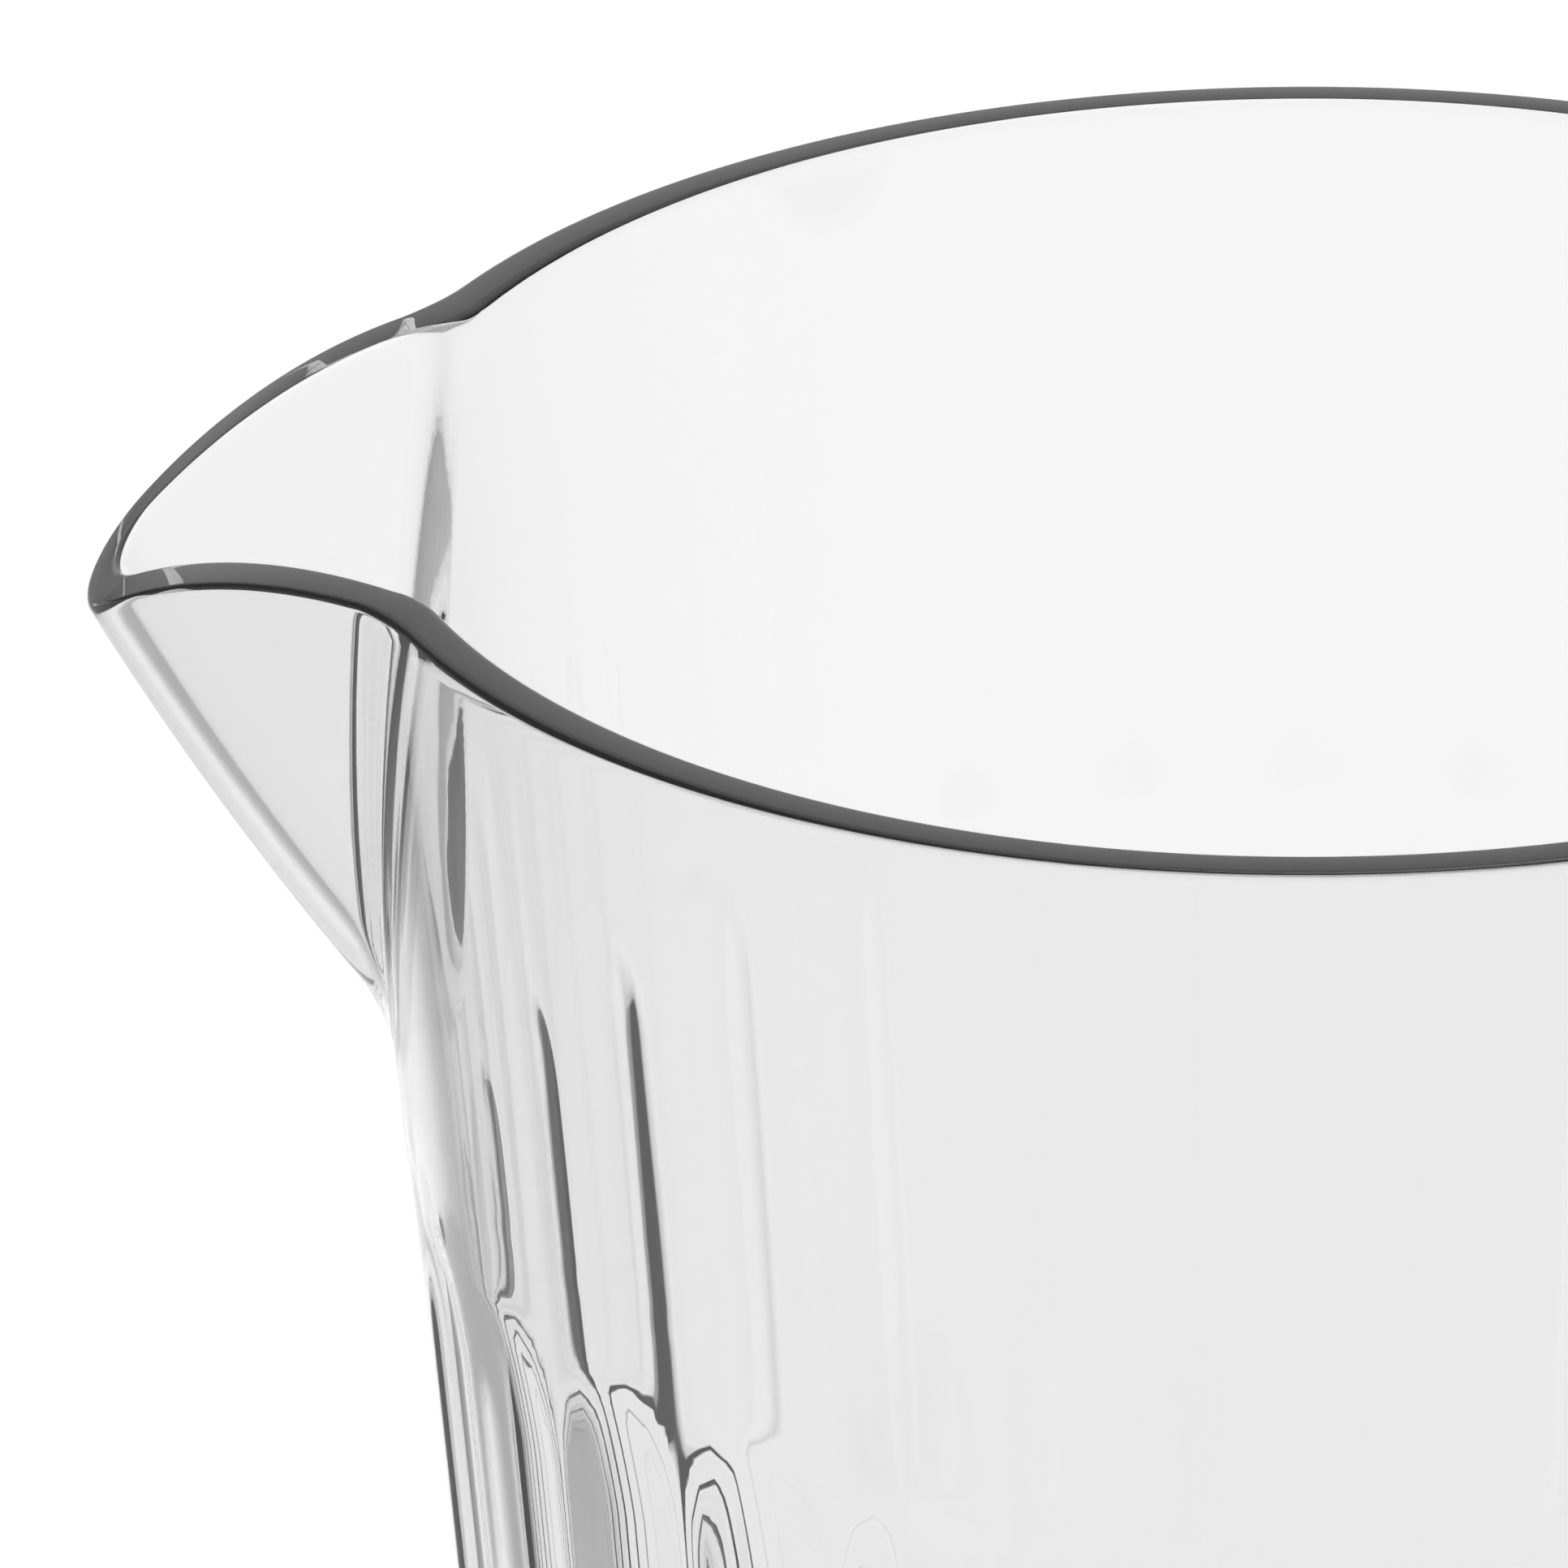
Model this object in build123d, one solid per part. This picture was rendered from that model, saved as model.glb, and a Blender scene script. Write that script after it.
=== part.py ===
from build123d import *
import os
from math import atan2, cos, degrees, radians, sin, sqrt, tan

# Clear serving beaker with a deep creased spout, a fluted lower body and a side handle.
# Millimetres. +Z is up, the origin is on the body's axis in the plane it stands on,
# the spout points to -X and the handle to +X.

# Driving dimensions
RIM_RADIUS = 65.0          # outside, at the rim
HEIGHT = 200.0
TAPER = 0.072              # radius lost per millimetre below the rim
WALL = 3.2
FLOOR = 5.0
HEEL_RADIUS = 5.0          # outside, where the wall meets the base
INNER_HEEL_RADIUS = 7.0
RECESS_RADIUS = 40.0       # the hollow inside the ring that the beaker stands on
RECESS_DEPTH = 1.5
RECESS_ROUND = 1.0
RIM_ROUND = 0.7            # on both edges of the rim, which is flat between them

SPOUT_REACH = 82.2         # axis to the lip's tip
SPOUT_FOOT_REACH = 62.3    # axis to the keel, low down
SPOUT_LIP_DROP = 9.6       # rim plane to the tip
SPOUT_FOOT_DROP = 40.6     # rim plane to that low point of the keel
KEEL_BOW_RADIUS = 229.0    # the keel is slightly bowed outwards
KEEL_NOSE_RADIUS = 11.0    # across the keel, outside
SPOUT_HALF_ANGLE = 40.2    # between a side and the middle plane, square to the keel
SPOUT_INNER_HALF = 40.0    # half width of the spout's solid, buried in the body
SPOUT_SWEEP_START = 14.0   # degrees of the keel's bow, counted up from level, where the solid starts
SPOUT_SWEEP = 30.0         # degrees of the bow that the solid is turned through
LIP_START = 59.8           # axis to where the lip starts to droop
LIP_ARC_RADIUS = 30.5
LIP_ARC_SWEEP = 75.0       # degrees of the droop's arc that are drawn, past the tip
OUTER_CREASE_ROUND = 1.8   # spout side to body, outside
INNER_CREASE_ROUND = 1.0

FLUTE_COUNT = 30
FLUTE_DEPTH = 0.9
FLUTE_TOP = 152.0          # height of the tips of the flutes' arches
FLUTE_ARCH_HEIGHT = 11.0

HANDLE_WIDTH = 24.0
HANDLE_THICKNESS = 10.0
HANDLE_TOP = 178.0         # centre of the handle where it leaves the body
HANDLE_BOTTOM = 66.0
HANDLE_REACH = 112.0       # axis to the middle of the grip, at its top
HANDLE_BEND = 24.0
HANDLE_ROUND = 4.8         # corners of the handle's section
HANDLE_CORNER_RISE = 6.0   # how much higher the grip's corners are than the handle's ends
HANDLE_GRIP_LEAN = 8.0     # how much nearer the axis the grip is at its bottom
HANDLE_ROOT_DEPTH = 8.0    # how far the handle's middle line starts inside the wall's face
HANDLE_ROOT_DROP = 8.0     # how far its lower end slopes down to the wall
PAD_THICKNESS = 2.5
UPPER_PAD_RADIUS = 16.0
LOWER_PAD_RADIUS = 17.0

SPARE = 30.0               # how far working solids run past the faces that trim them
NOSE_SPARE = 2.0           # the same for the top of a flute's cutter, which stays below the spout
WORK_TOP = 290.0           # every working solid ends below this height


def body_radius(height):
    return RIM_RADIUS - TAPER * (HEIGHT - height)


def keel_centre():
    """Centre of the keel's bow, seen from the side, as (x, z)."""
    chord_x = SPOUT_REACH - SPOUT_FOOT_REACH
    chord_z = SPOUT_LIP_DROP - SPOUT_FOOT_DROP
    chord = sqrt(chord_x ** 2 + chord_z ** 2)
    middle_x = -(SPOUT_REACH + SPOUT_FOOT_REACH) / 2
    middle_z = HEIGHT - (SPOUT_LIP_DROP + SPOUT_FOOT_DROP) / 2
    inset = sqrt(KEEL_BOW_RADIUS ** 2 - (chord / 2) ** 2)
    return middle_x - chord_z / chord * inset, middle_z + chord_x / chord * inset


def cone(offset, low, high):
    """Body of revolution under the wall's cone, moved in by offset."""
    outline = Polyline(
        (0, low),
        (body_radius(low) - offset, low),
        (body_radius(high) - offset, high),
        (0, high),
        close=True,
    )
    return revolve(Plane.XZ * make_face(outline), Axis.Z)


def spout_solid(offset):
    """V-shaped trough, moved in by offset, turned about the centre of the keel's bow."""
    centre_x, centre_z = keel_centre()
    half = radians(SPOUT_HALF_ANGLE)
    nose_centre = KEEL_BOW_RADIUS - KEEL_NOSE_RADIUS
    nose = KEEL_NOSE_RADIUS - offset
    touch_out = nose_centre + nose * sin(half)
    touch_side = nose * cos(half)
    back_out = touch_out - (SPOUT_INNER_HALF - touch_side) / tan(half)
    side_a = Line((back_out, -SPOUT_INNER_HALF), (touch_out, -touch_side))
    tip = ThreePointArc((touch_out, -touch_side), (nose_centre + nose, 0), (touch_out, touch_side))
    side_b = Line((touch_out, touch_side), (back_out, SPOUT_INNER_HALF))
    back = Line((back_out, SPOUT_INNER_HALF), (back_out, -SPOUT_INNER_HALF))
    section = make_face(side_a + tip + side_b + back)
    first = radians(SPOUT_SWEEP_START)
    plane = Plane(
        origin=(centre_x, 0, centre_z),
        x_dir=(-cos(first), 0, -sin(first)),
        z_dir=(-sin(first), 0, cos(first)),
    )
    return revolve(plane * section, Axis((centre_x, 0, centre_z), (0, -1, 0)), SPOUT_SWEEP)


def above_rim():
    """Everything above the rim and the drooping lip."""
    lip_x = -LIP_START
    sweep = radians(LIP_ARC_SWEEP)
    end_x = lip_x - LIP_ARC_RADIUS * sin(sweep)
    end_z = HEIGHT - LIP_ARC_RADIUS * (1 - cos(sweep))
    half = sweep / 2
    mid = (lip_x - LIP_ARC_RADIUS * sin(half), HEIGHT - LIP_ARC_RADIUS * (1 - cos(half)))
    flat = Line((RIM_RADIUS + SPARE, HEIGHT), (lip_x, HEIGHT))
    droop = ThreePointArc((lip_x, HEIGHT), mid, (end_x, end_z))
    out = Line((end_x, end_z), (end_x - SPARE, end_z))
    left = Line((end_x - SPARE, end_z), (end_x - SPARE, WORK_TOP))
    top = Line((end_x - SPARE, WORK_TOP), (RIM_RADIUS + SPARE, WORK_TOP))
    right = Line((RIM_RADIUS + SPARE, WORK_TOP), (RIM_RADIUS + SPARE, HEIGHT))
    face = Plane.XZ * make_face(flat + droop + out + left + top + right)
    return extrude(face, RIM_RADIUS + SPARE, both=True)


def outer_shell():
    """Outside of the vessel as one full solid: wall, spout and lip, before the flutes."""
    body = cone(0, 0, HEIGHT + SPARE / 2) + spout_solid(0)
    creases = body.edges().filter_by(GeomType.BSPLINE).filter_by(lambda e: e.center().Z < HEIGHT)
    body = body.fillet(OUTER_CREASE_ROUND, creases)
    heel = body.edges().filter_by(GeomType.CIRCLE).sort_by(Axis.Z)[0]
    body = body.fillet(HEEL_RADIUS, [heel])
    return body - base_recess()


def base_recess():
    """Shallow hollow under the base, rounded at its roof, so that only a ring touches the table."""
    disc = Cylinder(RECESS_RADIUS, 2 * RECESS_DEPTH)
    return disc.fillet(RECESS_ROUND, disc.edges().group_by(Axis.Z)[-1])


def cavity():
    """Space inside the vessel, open upwards through the mouth and the spout."""
    space = cone(WALL, FLOOR, HEIGHT + SPARE / 2) + spout_solid(WALL)
    creases = space.edges().filter_by(GeomType.BSPLINE).filter_by(lambda e: e.center().Z < HEIGHT)
    space = space.fillet(INNER_CREASE_ROUND, creases)
    heel = space.edges().filter_by(GeomType.CIRCLE).sort_by(Axis.Z)[0]
    return space.fillet(INNER_HEEL_RADIUS, [heel])


def flute_cutter():
    """Rod with a slowly tapering nose, laid along the wall at +X, that cuts one arch-topped flute."""
    half_width = body_radius(FLUTE_TOP) * sin(radians(180 / FLUTE_COUNT))
    radius = (half_width ** 2 + FLUTE_DEPTH ** 2) / (2 * FLUTE_DEPTH)
    nose_radius = FLUTE_ARCH_HEIGHT ** 2 / (2 * FLUTE_DEPTH)
    nose_centre = radius - nose_radius
    tip = FLUTE_ARCH_HEIGHT + NOSE_SPARE
    bottom = -FLUTE_TOP - SPARE
    tip_radius = nose_centre + sqrt(nose_radius ** 2 - tip ** 2)
    middle_radius = nose_centre + sqrt(nose_radius ** 2 - (tip / 2) ** 2)
    nose = ThreePointArc((radius, 0), (middle_radius, tip / 2), (tip_radius, tip))
    sides = Polyline((tip_radius, tip), (0, tip), (0, bottom), (radius, bottom), (radius, 0))
    rod = revolve(Plane.XZ * make_face(nose + sides), Axis.Z)
    lean = atan2(TAPER, 1)
    start = FLUTE_TOP - FLUTE_ARCH_HEIGHT
    centre = body_radius(start) + (radius - FLUTE_DEPTH) / cos(lean)
    return Pos(centre, 0, start) * Rot(0, degrees(lean), 0) * rod


def cut_flutes(body):
    """Cut the flutes all round, with a ridge at the spout's middle."""
    cutter = flute_cutter()
    return body - [Rot(0, 0, 360 * (k + 0.5) / FLUTE_COUNT) * cutter for k in range(FLUTE_COUNT)]


def lip_height(x):
    """Height of the top of the rim over a point, drooping towards the spout's tip."""
    if x > -LIP_START:
        return HEIGHT
    return HEIGHT - LIP_ARC_RADIUS + sqrt(LIP_ARC_RADIUS ** 2 - (x + LIP_START) ** 2)


def on_rim(edge):
    ends_and_middle = [edge @ u for u in (0, 0.5, 1)]
    return all(abs(p.Z - lip_height(p.X)) < 0.001 for p in ends_and_middle)


def make_vessel(outside):
    body = outside - cavity() - above_rim()
    body = body.fillet(RIM_ROUND, body.edges().filter_by(on_rim))
    return cut_flutes(body)


def pad(height, pad_radius):
    """Round flange that lies against the wall under one end of the handle."""
    disc = Pos(0, 0, height) * Rot(0, 90, 0) * Cylinder(
        pad_radius, RIM_RADIUS + SPARE, align=(Align.CENTER, Align.CENTER, Align.MIN)
    )
    return disc & cone(-PAD_THICKNESS, 0, HEIGHT)


def make_handle(outside):
    """Loop handle of one section, with a flange at each end, moulded to the wall's outside."""
    path = FilletPolyline(
        (RIM_RADIUS - HANDLE_ROOT_DEPTH, 0, HANDLE_TOP),
        (HANDLE_REACH, 0, HANDLE_TOP + HANDLE_CORNER_RISE),
        (HANDLE_REACH - HANDLE_GRIP_LEAN, 0, HANDLE_BOTTOM + HANDLE_CORNER_RISE),
        (body_radius(HANDLE_BOTTOM) - HANDLE_ROOT_DEPTH, 0, HANDLE_BOTTOM - HANDLE_ROOT_DROP),
        radius=HANDLE_BEND,
    )
    start = Plane(path @ 0, x_dir=(0, 1, 0), z_dir=path % 0)
    section = start * RectangleRounded(HANDLE_WIDTH, HANDLE_THICKNESS, HANDLE_ROUND)
    loop = sweep(section, path=path)
    whole = loop + pad(HANDLE_TOP, UPPER_PAD_RADIUS) + pad(HANDLE_BOTTOM, LOWER_PAD_RADIUS)
    return whole - cut_flutes(outside)


def main():
    os.makedirs("parts", exist_ok=True)
    outside = outer_shell()
    export_step(make_vessel(outside), "parts/vessel.step")
    export_step(make_handle(outside), "parts/handle.step")


main()
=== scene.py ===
"""Looks of the clear serving beaker: vessel, handle, floor, light and camera.

Lengths in the shape functions are millimetres, as in the design.
Each mesh is scaled to metres as it is made.
An azimuth is counted in degrees from +X, anticlockwise from above, so the spout is at 180.
"""

import math

import bmesh
import bpy
import numpy as np
from mathutils import Matrix, Vector


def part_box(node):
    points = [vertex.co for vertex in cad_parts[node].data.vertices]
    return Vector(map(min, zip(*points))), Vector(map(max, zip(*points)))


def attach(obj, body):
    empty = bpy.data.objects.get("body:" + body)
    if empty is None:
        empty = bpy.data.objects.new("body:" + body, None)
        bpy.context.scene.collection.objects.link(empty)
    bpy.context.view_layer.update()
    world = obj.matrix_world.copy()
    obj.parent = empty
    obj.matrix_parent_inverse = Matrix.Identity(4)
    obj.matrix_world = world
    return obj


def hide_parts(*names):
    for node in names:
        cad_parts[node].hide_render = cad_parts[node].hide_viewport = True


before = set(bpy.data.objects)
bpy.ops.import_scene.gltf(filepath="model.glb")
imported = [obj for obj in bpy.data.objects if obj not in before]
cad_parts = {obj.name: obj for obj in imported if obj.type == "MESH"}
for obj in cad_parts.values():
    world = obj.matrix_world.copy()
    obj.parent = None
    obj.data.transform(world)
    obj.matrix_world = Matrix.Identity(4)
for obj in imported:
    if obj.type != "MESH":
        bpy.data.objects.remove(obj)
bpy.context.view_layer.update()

MM = 0.001

# Driving dimensions, from model.glb where it has them
vessel_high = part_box("vessel")[1] / MM
TAPER = 0.072
LEAN = math.atan(TAPER)
WALL = 3.2
RIM_ROUND = 0.7               # on both edges of the rim, which is flat between them
HEIGHT = vessel_high.z
RIM_RADIUS = vessel_high.y + RIM_ROUND * TAPER
FLOOR = 5.0
HEEL_RADIUS = 5.0
INNER_HEEL_RADIUS = 7.0
RECESS_RADIUS = 40.0
RECESS_DEPTH = 1.5
RECESS_ROUND = 1.0

SPOUT_REACH = 82.2
SPOUT_FOOT_REACH = 62.3
SPOUT_LIP_DROP = 9.6
SPOUT_FOOT_DROP = 40.6
KEEL_BOW_RADIUS = 229.0
KEEL_NOSE_RADIUS = 11.0
SPOUT_HALF_ANGLE = math.radians(40.2)
LIP_START = 59.8
LIP_ARC_RADIUS = 30.5
OUTER_CREASE_ROUND = 1.8
INNER_CREASE_ROUND = 1.0
SPOUT_BOTTOM = 155.0          # below this height the wall is round again
SPOUT_MARGIN = 3.0            # how far the spout's rows and the flutes overlap at that height
SPOUT_BACK = -0.35 * RIM_RADIUS   # the spout's sides are inside the wall from here on

FLUTE_COUNT = 30
FLUTE_PITCH = 360 / FLUTE_COUNT
FLUTE_DEPTH = 0.9
FLUTE_TOP = 152.0
FLUTE_ARCH_HEIGHT = 11.0
FLUTE_SOFTNESS = 0.12         # rounds the edges of each flute


# ---------- shape of the vessel ----------

def wall_radius(height):
    return RIM_RADIUS - TAPER * (HEIGHT - height)


def keel_centre():
    """Centre of the keel's bow as (x, z): it goes through a high and a low point of the keel."""
    chord_x = SPOUT_REACH - SPOUT_FOOT_REACH
    chord_z = SPOUT_LIP_DROP - SPOUT_FOOT_DROP
    chord = math.hypot(chord_x, chord_z)
    inset = math.sqrt(KEEL_BOW_RADIUS ** 2 - (chord / 2) ** 2)
    middle_x = -(SPOUT_REACH + SPOUT_FOOT_REACH) / 2
    middle_z = HEIGHT - (SPOUT_LIP_DROP + SPOUT_FOOT_DROP) / 2
    return middle_x - chord_z / chord * inset, middle_z + chord_x / chord * inset


KEEL_X, KEEL_Z = keel_centre()


def spout_distance(x, y, z, offset):
    """Signed distance to the spout's rounded V, moved in by offset."""
    nose = KEEL_NOSE_RADIUS - offset
    out = np.hypot(x - KEEL_X, z - KEEL_Z) - (KEEL_BOW_RADIUS - KEEL_NOSE_RADIUS)
    side = np.abs(y)
    along = side * np.sin(SPOUT_HALF_ANGLE) - out * np.cos(SPOUT_HALF_ANGLE)
    to_side = out * np.sin(SPOUT_HALF_ANGLE) + side * np.cos(SPOUT_HALF_ANGLE)
    return np.where(along < 0, np.hypot(out, side), to_side) - nose


def round_union(a, b, radius):
    """Union of two signed distances with a fillet in the corner between them."""
    corner = np.hypot(np.maximum(radius - a, 0), np.maximum(radius - b, 0))
    return np.maximum(radius, np.minimum(a, b)) - corner


def shell_radius(azimuth, height, offset, crease):
    """Distance from the axis to the wall's face moved in by offset, spout included, before the flutes."""
    angle = np.radians(azimuth)
    angle, height = np.broadcast_arrays(angle, height)
    near = np.full(angle.shape, 0.5 * RIM_RADIUS)
    far = np.full(angle.shape, 1.6 * RIM_RADIUS)
    for _ in range(36):
        middle = (near + far) / 2
        x, y = middle * np.cos(angle), middle * np.sin(angle)
        to_wall = (middle - wall_radius(height) + offset) * math.cos(LEAN)
        to_spout = np.where(x < SPOUT_BACK, spout_distance(x, y, height, offset), RIM_RADIUS)
        inside = round_union(to_wall, to_spout, crease) < 0
        near, far = np.where(inside, middle, near), np.where(inside, far, middle)
    return (near + far) / 2


def flute_depth(azimuth, height):
    """How far the flutes cut into the wall: each is the trace of a rod with a slowly tapering nose."""
    half_width = wall_radius(FLUTE_TOP) * math.sin(math.radians(FLUTE_PITCH / 2))
    rod = (half_width ** 2 + FLUTE_DEPTH ** 2) / (2 * FLUTE_DEPTH)
    nose = FLUTE_ARCH_HEIGHT ** 2 / (2 * FLUTE_DEPTH)
    up = np.clip(height - (FLUTE_TOP - FLUTE_ARCH_HEIGHT), 0, 2 * FLUTE_ARCH_HEIGHT)
    radius = rod - nose + np.sqrt(nose ** 2 - up ** 2)
    centre = wall_radius(height) + (rod - FLUTE_DEPTH) / math.cos(LEAN)
    off = np.radians((azimuth - 180) % FLUTE_PITCH - FLUTE_PITCH / 2)
    bottom = centre * np.cos(off) - np.sqrt(np.maximum(radius ** 2 - (centre * np.sin(off)) ** 2, 0))
    raw = wall_radius(height) - bottom
    return (raw + np.sqrt(raw ** 2 + FLUTE_SOFTNESS ** 2)) / 2


def outside_radius(azimuth, height):
    plain = shell_radius(azimuth, height, 0, OUTER_CREASE_ROUND)
    return plain - np.where(height < SPOUT_BOTTOM + SPOUT_MARGIN, flute_depth(azimuth, height), 0)


def inside_radius(azimuth, height):
    return shell_radius(azimuth, height, WALL, INNER_CREASE_ROUND)


def lip_height(x, inset):
    """Height of the rim over x, lowered by inset; the lip droops along an arc towards the spout's tip."""
    arc = LIP_ARC_RADIUS - inset
    droop = arc - np.sqrt(np.maximum(arc ** 2 - np.minimum(x + LIP_START, 0) ** 2, 0))
    return HEIGHT - inset - droop


def rim_start(radius_at, azimuth):
    """Height on a wall's face at which the rounding of the rim starts."""
    low = np.full(azimuth.shape, HEIGHT - 0.6 * LIP_ARC_RADIUS)
    high = np.full(azimuth.shape, float(HEIGHT))
    for _ in range(30):
        middle = (low + high) / 2
        x = radius_at(azimuth, middle) * np.cos(np.radians(azimuth))
        below = middle < lip_height(x, RIM_ROUND)
        low, high = np.where(below, middle, low), np.where(below, high, middle)
    return (low + high) / 2


# ---------- mesh of the vessel ----------

SPOUT_SPAN = 2 * FLUTE_PITCH  # degrees each side of the spout's middle that get finer columns
SPOUT_STEPS = 144
FLUTE_STEPS = (-1, -0.95, -0.87, -0.73, -0.53, -0.27, 0, 0.27, 0.53, 0.73, 0.87, 0.95)


def columns():
    """Azimuths of the mesh's columns: even and fine at the spout, closest at the ridges elsewhere."""
    spout = np.linspace(180 - SPOUT_SPAN, 180 + SPOUT_SPAN, SPOUT_STEPS, endpoint=False)
    first = 180 + SPOUT_SPAN + FLUTE_PITCH / 2
    plain = [
        first + (k + step / 2) * FLUTE_PITCH
        for k in range(FLUTE_COUNT - 4)
        for step in FLUTE_STEPS
    ]
    return np.concatenate([spout, plain])


def ring(azimuth, radius, height):
    """One row of the mesh, as points."""
    angle = np.radians(azimuth)
    radius, height = np.broadcast_to(radius, angle.shape), np.broadcast_to(height, angle.shape)
    return np.stack([radius * np.cos(angle), radius * np.sin(angle), height], axis=1)


def quarter(count):
    """Angles of a quarter turn without its two ends."""
    return np.linspace(0, math.pi / 2, count + 2)[1:-1]


def base_rows(azimuth):
    """From the middle of the underside, across the recess and the standing ring, to the outer heel."""
    rows = [ring(azimuth, r, RECESS_DEPTH) for r in np.linspace(0.4, RECESS_RADIUS - RECESS_ROUND, 9)]
    for turn in quarter(3):
        radius = RECESS_RADIUS - RECESS_ROUND * (1 - math.sin(turn))
        rows.append(ring(azimuth, radius, RECESS_DEPTH - RECESS_ROUND * (1 - math.cos(turn))))
    rows.append(ring(azimuth, RECESS_RADIUS, RECESS_DEPTH - RECESS_ROUND))
    rows.append(ring(azimuth, RECESS_RADIUS + 0.1, 0.1))
    rows.append(ring(azimuth, RECESS_RADIUS + 0.3, 0))
    heel_centre = wall_radius(HEEL_RADIUS) - HEEL_RADIUS
    rows.append(ring(azimuth, (RECESS_RADIUS + heel_centre) / 2, 0))
    rows.append(ring(azimuth, heel_centre, 0))
    for turn in quarter(7):
        height = HEEL_RADIUS * (1 - math.cos(turn))
        full = heel_centre + HEEL_RADIUS * math.sin(turn)
        fluted = wall_radius(height) - flute_depth(azimuth, np.full(azimuth.shape, height))
        rows.append(ring(azimuth, np.minimum(full, fluted), height))
    return rows


def outer_rows(azimuth, top):
    heights = np.concatenate([
        np.linspace(HEEL_RADIUS, 128, 22, endpoint=False),
        np.linspace(128, SPOUT_BOTTOM, 30, endpoint=False),
    ])
    rows = [ring(azimuth, outside_radius(azimuth, np.full(azimuth.shape, h)), h) for h in heights]
    for share in np.linspace(0, 1, 50):
        height = SPOUT_BOTTOM + share * (top - SPOUT_BOTTOM)
        rows.append(ring(azimuth, outside_radius(azimuth, height), height))
    return rows


def rim_rows(outer, inner):
    """Cap over the wall's edge: a flat top with rounded corners that follows both faces' directions."""
    rise = outer[-1] - outer[-2] + inner[0] - inner[1]
    rise *= RIM_ROUND / np.linalg.norm(rise, axis=1, keepdims=True)
    across = inner[0] - outer[-1]
    across *= RIM_ROUND / np.linalg.norm(across, axis=1, keepdims=True)
    turns = np.linspace(0, math.pi / 2, 6)[1:]
    outer_edge = [outer[-1] + across * (1 - math.cos(t)) + rise * math.sin(t) for t in turns]
    inner_edge = [inner[0] - across * (1 - math.cos(t)) + rise * math.sin(t) for t in turns]
    return outer_edge + inner_edge[::-1]


def inner_rows(azimuth, top):
    rows = []
    for share in np.linspace(1, 0, 46):
        height = SPOUT_BOTTOM - SPOUT_MARGIN + share * (top - SPOUT_BOTTOM + SPOUT_MARGIN)
        rows.append(ring(azimuth, inside_radius(azimuth, height), height))
    heel_top = FLOOR + INNER_HEEL_RADIUS
    for height in np.linspace(SPOUT_BOTTOM - SPOUT_MARGIN, heel_top, 19)[1:]:
        rows.append(ring(azimuth, wall_radius(height) - WALL, height))
    heel_centre = wall_radius(heel_top) - WALL - INNER_HEEL_RADIUS
    for turn in quarter(7):
        height = FLOOR + INNER_HEEL_RADIUS * (1 - math.sin(turn))
        rows.append(ring(azimuth, heel_centre + INNER_HEEL_RADIUS * math.cos(turn), height))
    rows += [ring(azimuth, r, FLOOR) for r in np.linspace(heel_centre, 0.4, 10)]
    return rows


def closed_mesh(name, rows):
    """Mesh from rows of equal length, each a closed ring, with both ends closed by one face."""
    count = len(rows[0])
    points = np.concatenate(rows) * MM
    faces = []
    for k in range(len(rows) - 1):
        low, high = k * count, (k + 1) * count
        for i in range(count):
            after = (i + 1) % count
            faces.append((low + i, low + after, high + after, high + i))
    faces.append(tuple(range(count - 1, -1, -1)))
    faces.append(tuple(range(len(points) - count, len(points))))
    mesh = bpy.data.meshes.new(name)
    mesh.from_pydata(points.tolist(), [], faces)
    clean = bmesh.new()
    clean.from_mesh(mesh)
    bmesh.ops.recalc_face_normals(clean, faces=clean.faces)
    clean.to_mesh(mesh)
    clean.free()
    mesh.shade_smooth()
    piece = bpy.data.objects.new(name, mesh)
    bpy.context.scene.collection.objects.link(piece)
    return piece


def make_vessel():
    azimuth = columns()
    outer = outer_rows(azimuth, rim_start(outside_radius, azimuth))
    inner = inner_rows(azimuth, rim_start(inside_radius, azimuth))
    return closed_mesh("clear_vessel", base_rows(azimuth) + outer + rim_rows(outer, inner) + inner)


# ---------- handle ----------

HANDLE_WIDTH = 24.0
HANDLE_THICKNESS = 10.0
HANDLE_TOP = 178.0
HANDLE_BOTTOM = 66.0
HANDLE_REACH = 112.0
HANDLE_BEND = 24.0
HANDLE_CORNER_RISE = 6.0      # how much higher the grip's corners are than the handle's ends
HANDLE_GRIP_LEAN = 8.0        # how much nearer the axis the grip is at its bottom
HANDLE_ROOT_DEPTH = 8.0       # how far the middle line starts inside the wall's face
HANDLE_ROOT_DROP = 8.0        # how far its lower end slopes down to the wall
FLARE_LENGTH = 17.0
FLARE_WIDTH = 31.0
FLARE_THICKNESS = 30.0
FLARE_POWER = 2.4             # how late the ends of the handle widen
SEAT_GAP = 0.02               # the handle's seat stands this far off the wall


def handle_corners():
    """Corners of the grip's middle line, as (x, z), from the upper root to the lower one."""
    return [
        Vector((RIM_RADIUS - HANDLE_ROOT_DEPTH, HANDLE_TOP)),
        Vector((HANDLE_REACH, HANDLE_TOP + HANDLE_CORNER_RISE)),
        Vector((HANDLE_REACH - HANDLE_GRIP_LEAN, HANDLE_BOTTOM + HANDLE_CORNER_RISE)),
        Vector((wall_radius(HANDLE_BOTTOM) - HANDLE_ROOT_DEPTH, HANDLE_BOTTOM - HANDLE_ROOT_DROP)),
    ]


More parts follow.
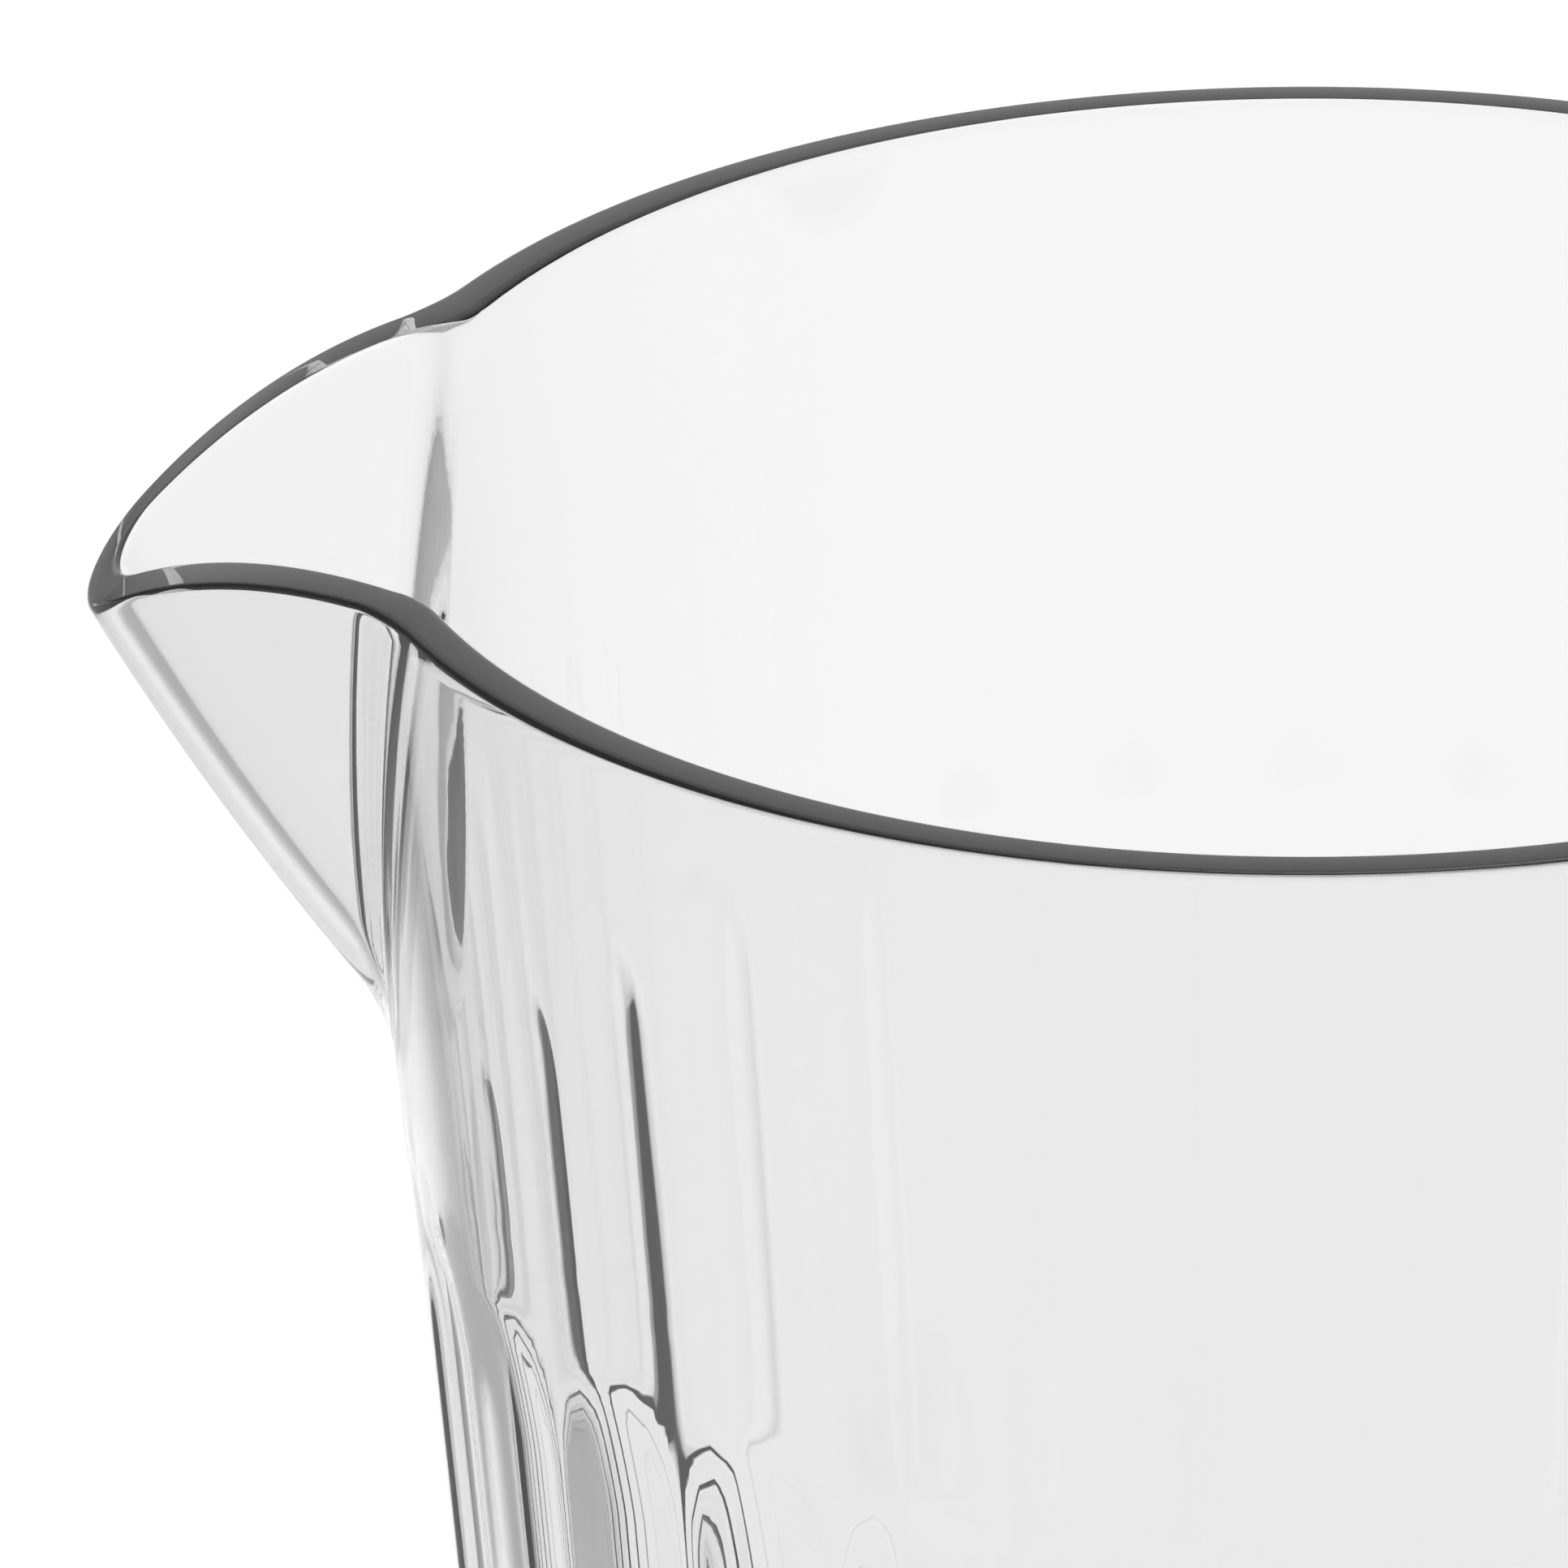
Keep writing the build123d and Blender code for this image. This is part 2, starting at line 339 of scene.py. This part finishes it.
def rounded_path(corners, bend, step):
    """Points along straight runs joined by arcs of one radius."""
    points = [corners[0]]
    for before, corner, after in zip(corners, corners[1:], corners[2:]):
        come, leave = (before - corner).normalized(), (after - corner).normalized()
        half = come.angle(leave) / 2
        centre = corner + (come + leave).normalized() * bend / math.sin(half)
        first = corner + come * bend / math.tan(half)
        last = corner + leave * bend / math.tan(half)
        turn = math.pi - 2 * half
        count = math.ceil(turn * bend / step)
        sweep = [(1 - k / count, k / count) for k in range(count + 1)]
        for a, b in sweep:
            blend = (first - centre) * math.sin(a * turn) + (last - centre) * math.sin(b * turn)
            points.append(centre + blend / math.sin(turn))
    points.append(corners[-1])
    return points


def even_points(points, step):
    """The same path with points at even distances."""
    xz = np.array([tuple(p) for p in points])
    length = np.concatenate([[0], np.cumsum(np.linalg.norm(np.diff(xz, axis=0), axis=1))])
    at = np.linspace(0, length[-1], int(length[-1] / step))
    return np.stack([np.interp(at, length, xz[:, k]) for k in (0, 1)], axis=1)


def handle_section(width, thickness):
    """Rounded outline across the grip: offsets along Y and along the path's normal."""
    turn = np.linspace(0, 2 * math.pi, 72, endpoint=False)
    power = 2 / 2.7
    side = np.sign(np.cos(turn)) * np.abs(np.cos(turn)) ** power * width / 2
    rise = np.sign(np.sin(turn)) * np.abs(np.sin(turn)) ** power * thickness / 2
    return side, rise


def onto_wall(y, z):
    """The points of the vessel's outside, at +X, that have these y and z, a hair off the surface."""
    x = np.full(y.shape, RIM_RADIUS)
    for _ in range(4):
        azimuth = np.degrees(np.arctan2(y, x))
        radius = wall_radius(z) - np.where(z < SPOUT_BOTTOM, flute_depth(azimuth, z), 0) + SEAT_GAP
        x = np.sqrt(radius ** 2 - y ** 2)
    return np.stack([x, y, z], axis=1)


def seat_rows(edge):
    """Rows that close one end of the handle against the wall, from near its middle to its edge."""
    centre = edge.mean(axis=0)
    rows = []
    for share in (0.03, 0.25, 0.5, 0.75, 0.93, 1):
        near = centre + share * (edge - centre)
        rows.append(onto_wall(near[:, 1], near[:, 2]))
    return rows


def make_handle():
    path = even_points(rounded_path(handle_corners(), HANDLE_BEND, 1.0), 1.6)
    clear = path[:, 0] - wall_radius(path[:, 1])
    start = int(np.argmax(clear > 0))
    stop = len(path) - int(np.argmax(clear[::-1] > 0))
    path = path[start:stop]
    along = np.gradient(path, axis=0)
    along /= np.linalg.norm(along, axis=1, keepdims=True)
    run = np.concatenate([[0], np.cumsum(np.linalg.norm(np.diff(path, axis=0), axis=1))])
    rows = []
    for (x, z), (dx, dz), s in zip(path, along, run):
        left = min(s, run[-1] - s)
        flare = max(0.0, 1 - left / FLARE_LENGTH) ** FLARE_POWER
        width = HANDLE_WIDTH + flare * (FLARE_WIDTH - HANDLE_WIDTH)
        thickness = HANDLE_THICKNESS + flare * (FLARE_THICKNESS - HANDLE_THICKNESS)
        side, rise = handle_section(width, thickness)
        rows.append(np.stack([x - dz * rise, side, z + dx * rise], axis=1))
    upper = seat_rows(rows[0])
    lower = seat_rows(rows[-1])
    return closed_mesh("clear_handle", upper + rows[2:-2] + lower[::-1])


# ---------- materials ----------

def node(tree, kind, **values):
    made = tree.nodes.new(kind)
    for key, value in values.items():
        if hasattr(made, key):
            setattr(made, key, value)
        else:
            made.inputs[key.replace("_", " ")].default_value = value
    return made


def clear_plastic(name, tint, wave_stretch):
    """Clear moulded plastic: faint flow lines and a slightly uneven gloss."""
    material = bpy.data.materials.new(name)
    material.use_nodes = True
    tree = material.node_tree
    shader = tree.nodes["Principled BSDF"]
    shader.inputs["Transmission Weight"].default_value = 0.975
    shader.inputs["IOR"].default_value = 1.57
    place = node(tree, "ShaderNodeTexCoord")
    stretch = node(tree, "ShaderNodeMapping")
    stretch.inputs["Scale"].default_value = wave_stretch
    tree.links.new(place.outputs["Object"], stretch.inputs["Vector"])
    waves = node(tree, "ShaderNodeTexNoise", Scale=1.0, Detail=3.0)
    tree.links.new(stretch.outputs["Vector"], waves.inputs["Vector"])

    haze = node(tree, "ShaderNodeTexNoise", Scale=40.0, Detail=4.0)
    tree.links.new(place.outputs["Object"], haze.inputs["Vector"])
    colour = node(tree, "ShaderNodeValToRGB")
    colour.color_ramp.elements[0].color = (*[c * 0.985 for c in tint], 1)
    colour.color_ramp.elements[1].color = (*tint, 1)
    tree.links.new(haze.outputs["Fac"], colour.inputs["Fac"])
    tree.links.new(colour.outputs["Color"], shader.inputs["Base Color"])
    gloss = node(tree, "ShaderNodeMapRange", To_Min=0.0, To_Max=0.02)
    tree.links.new(haze.outputs["Fac"], gloss.inputs["Value"])
    tree.links.new(gloss.outputs["Result"], shader.inputs["Roughness"])

    flow = node(tree, "ShaderNodeBump", Strength=0.2, Distance=0.00012)
    tree.links.new(waves.outputs["Fac"], flow.inputs["Height"])
    tree.links.new(flow.outputs["Normal"], shader.inputs["Normal"])
    return material


def floor_with_painted_light_pool():
    """Pale floor whose own emission paints a soft pool of light behind the object, like a light table; the
    floor glows though it is no lamp.
    """
    material = bpy.data.materials.new("floor_painted_light_pool")
    material.use_nodes = True
    tree = material.node_tree
    shader = tree.nodes["Principled BSDF"]
    shader.inputs["Roughness"].default_value = 0.9
    shader.inputs["Emission Color"].default_value = (1, 1, 1, 1)
    place = node(tree, "ShaderNodeTexCoord")
    pool = node(tree, "ShaderNodeMapping", vector_type="TEXTURE")
    pool.inputs["Location"].default_value = (*POOL_CENTRE, 0)
    pool.inputs["Scale"].default_value = (*POOL_SIZE, 1)
    tree.links.new(place.outputs["Object"], pool.inputs["Vector"])
    reach = node(tree, "ShaderNodeVectorMath", operation="LENGTH")
    tree.links.new(pool.outputs["Vector"], reach.inputs[0])
    # painted light: this sets how strongly the floor itself emits, brightest in the pool behind the object
    painted_emission = node(tree, "ShaderNodeMapRange", interpolation_type="SMOOTHSTEP")
    span = {"From Min": 1.0, "From Max": POOL_EDGE, "To Min": FLOOR_GLOW, "To Max": FLOOR_FAR_GLOW}
    for socket, value in span.items():
        painted_emission.inputs[socket].default_value = value
    tree.links.new(reach.outputs["Value"], painted_emission.inputs["Value"])
    tree.links.new(painted_emission.outputs["Result"], shader.inputs["Emission Strength"])
    grain = node(tree, "ShaderNodeTexNoise", Scale=3.0, Detail=2.0)
    tree.links.new(place.outputs["Object"], grain.inputs["Vector"])
    colour = node(tree, "ShaderNodeValToRGB")
    colour.color_ramp.elements[0].color = (0.78, 0.78, 0.78, 1)
    colour.color_ramp.elements[1].color = (0.82, 0.82, 0.82, 1)
    tree.links.new(grain.outputs["Fac"], colour.inputs["Fac"])
    tree.links.new(colour.outputs["Color"], shader.inputs["Base Color"])
    return material


# ---------- studio ----------

# Painted light: the floor's emission strengths and the pool's place and size paint a pool of light onto the
# floor
FLOOR_GLOW = 0.73
FLOOR_SIDE = 16.0
FLOOR_FAR_GLOW = 0.16         # painted light: the floor's emission outside the pool of light
POOL_CENTRE = (-0.04, 0.62)
POOL_SIZE = (0.2, 0.5)
POOL_EDGE = 1.35              # where the pool has faded out, in pool sizes
WORLD_LOW = 0.08              # grey of the studio at the sides and in front
WORLD_HIGH = 0.8              # grey of the studio behind and above
WORLD_BRIGHT_WAY = (0, 0.77, 0.64)
WORLD_EDGE = (0.55, 0.85)     # cosines to that way between which the grey changes
SOFTBOX_PLACE = (0.3, 0.3, 1.6)
SOFTBOX_SIZE = (0.8, 0.8)
SOFTBOX_ENERGY = 2
CLEAR_TINT = (0.985, 0.985, 0.985)

CAMERA_ELEVATION = math.radians(23.88)
CAMERA_DISTANCE = 14 * RIM_RADIUS * MM
CAMERA_AIM = Vector((-0.0352, 0, 0.1756))
CAMERA_ROLL = math.radians(-1.02)
CAMERA_LENS = 312.5


def make_floor():
    mesh = bpy.data.meshes.new("floor")
    grid = bmesh.new()
    bmesh.ops.create_grid(grid, x_segments=8, y_segments=8, size=FLOOR_SIDE / 2)
    grid.to_mesh(mesh)
    grid.free()
    floor = bpy.data.objects.new("floor", mesh)
    bpy.context.scene.collection.objects.link(floor)
    floor.location.z = -0.0002
    floor.data.materials.append(floor_with_painted_light_pool())


def make_world():
    world = bpy.data.worlds.new("studio")
    world.use_nodes = True
    tree = world.node_tree
    direction = node(tree, "ShaderNodeTexCoord")
    lift = node(tree, "ShaderNodeVectorMath", operation="DOT_PRODUCT")
    lift.inputs[1].default_value = WORLD_BRIGHT_WAY
    tree.links.new(direction.outputs["Generated"], lift.inputs[0])
    shade = node(tree, "ShaderNodeMapRange", interpolation_type="SMOOTHSTEP")
    span = {"From Min": WORLD_EDGE[0], "From Max": WORLD_EDGE[1], "To Min": WORLD_LOW, "To Max": WORLD_HIGH}
    for socket, value in span.items():
        shade.inputs[socket].default_value = value
    tree.links.new(lift.outputs["Value"], shade.inputs["Value"])
    tree.links.new(shade.outputs["Result"], tree.nodes["Background"].inputs["Color"])
    bpy.context.scene.world = world


def softbox(name, place, size, energy):
    light = bpy.data.lights.new(name, "AREA")
    light.shape = "RECTANGLE"
    light.size, light.size_y = size
    light.energy = energy
    lamp = bpy.data.objects.new(name, light)
    lamp.location = place
    lamp.rotation_euler = (-Vector(place)).to_track_quat("-Z", "Y").to_euler()
    bpy.context.scene.collection.objects.link(lamp)


def make_camera():
    data = bpy.data.cameras.new("camera")
    data.lens = CAMERA_LENS
    data.clip_start, data.clip_end = 0.05, 50
    camera = bpy.data.objects.new("camera", data)
    back = Vector((0, -math.cos(CAMERA_ELEVATION), math.sin(CAMERA_ELEVATION)))
    camera.location = Vector((0, 0, HEIGHT * MM)) + back * CAMERA_DISTANCE
    look = (CAMERA_AIM - camera.location).to_track_quat("-Z", "Y").to_matrix().to_4x4()
    camera.rotation_euler = (look @ Matrix.Rotation(CAMERA_ROLL, 4, "Z")).to_euler()
    bpy.context.scene.collection.objects.link(camera)
    bpy.context.scene.camera = camera


def dress(piece, material, cad_node):
    piece.data.materials.append(material)
    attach(piece, "root")
    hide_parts(cad_node)


vessel_plastic = clear_plastic("clear_vessel", CLEAR_TINT, (60, 60, 5))
handle_plastic = clear_plastic("clear_handle", CLEAR_TINT, (50, 50, 50))
dress(make_vessel(), vessel_plastic, "vessel")
dress(make_handle(), handle_plastic, "handle")
make_floor()
make_world()
softbox("softbox_top", SOFTBOX_PLACE, SOFTBOX_SIZE, SOFTBOX_ENERGY)
make_camera()

scene = bpy.context.scene
scene.view_settings.view_transform = "Standard"
scene.cycles.max_bounces = 32
scene.cycles.transmission_bounces = 32
